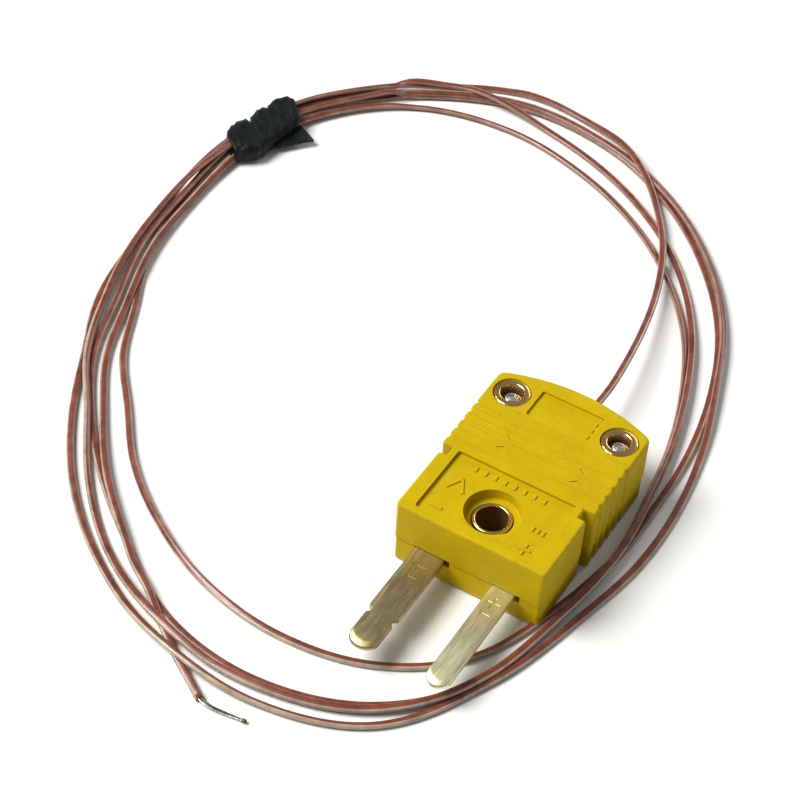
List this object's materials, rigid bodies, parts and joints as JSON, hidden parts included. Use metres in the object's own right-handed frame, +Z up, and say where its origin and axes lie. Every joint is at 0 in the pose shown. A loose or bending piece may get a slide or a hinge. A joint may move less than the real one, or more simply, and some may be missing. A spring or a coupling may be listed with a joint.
{
  "type": "thermocouple",
  "caption": "Fine-wire thermocouple with a flat two-pin plug, a thin twin lead lying in a loose tied coil, and a bare welded measuring junction.",
  "frame": {"origin": "under the middle of the plug's own box, blades included and lead left out, on the surface it lies on", "axes": "+Z up out of the plug's upper face; blades point along -Y and the lead leaves along +Y; +X towards the narrow positive blade"},
  "size_m": [0.0686, 0.0923, 0.0079],
  "materials": {
    "yellow_nylon": "satin moulded nylon",
    "brass": "turned",
    "plated_steel": "plated",
    "negative_alloy": "stamped nickel alloy, slightly tarnished",
    "positive_alloy": "stamped nickel alloy",
    "grommet_rubber": "matte",
    "lead_insulation": "clear jacket over a red-brown conductor",
    "pale_insulation": "translucent",
    "black_film": "creased black film"
  },
  "bodies": {
    "plug": {"upper_shell": "yellow_nylon", "lower_shell": "yellow_nylon", "strain_relief_bar": "yellow_nylon", "broad_blade": "negative_alloy", "narrow_blade": "positive_alloy", "centre_bush": "brass", "left_insert": "brass", "right_insert": "brass", "negative_terminal_screw": "plated_steel", "positive_terminal_screw": "plated_steel", "negative_clamp_washer": "plated_steel", "positive_clamp_washer": "plated_steel", "lead_grommet": "grommet_rubber", "lead_inside": "lead_insulation", "lead_cable": "lead_insulation", "lead_coil": "lead_insulation", "lead_tail": "lead_insulation", "negative_conductor": "lead_insulation", "positive_conductor": "pale_insulation", "negative_clamped_end": "negative_alloy", "positive_clamped_end": "positive_alloy", "negative_bare_wire": "negative_alloy", "positive_bare_wire": "positive_alloy", "junction_bead": "negative_alloy", "coil_tie": "black_film"},
    "left_washer": {"left_lock_washer": "plated_steel"},
    "left_screw": {"left_body_screw": "plated_steel"},
    "right_washer": {"right_lock_washer": "plated_steel"},
    "right_screw": {"right_body_screw": "plated_steel"}
  },
  "joints": [
    {"name": "left_screw_travel", "type": "slide", "parent": "plug", "child": "left_washer", "axis": [0, 0, -1], "range_m": [0, 0.0007]},
    {"name": "left_screw_turn", "type": "hinge", "parent": "left_washer", "child": "left_screw", "pos_m": [-0.00589, 0.01365, 0.00115], "axis": [0, 0, -1], "range_deg": [0, 720]},
    {"name": "right_screw_travel", "type": "slide", "parent": "plug", "child": "right_washer", "axis": [0, 0, -1], "range_m": [0, 0.0007]},
    {"name": "right_screw_turn", "type": "hinge", "parent": "right_washer", "child": "right_screw", "pos_m": [0.00589, 0.01365, 0.00115], "axis": [0, 0, -1], "range_deg": [0, 720]}
  ],
  "couplings": [
    {"joint": "left_screw_turn", "follows": "left_screw_travel", "rad_per_m": 17952},
    {"joint": "right_screw_turn", "follows": "right_screw_travel", "rad_per_m": 17952}
  ]
}
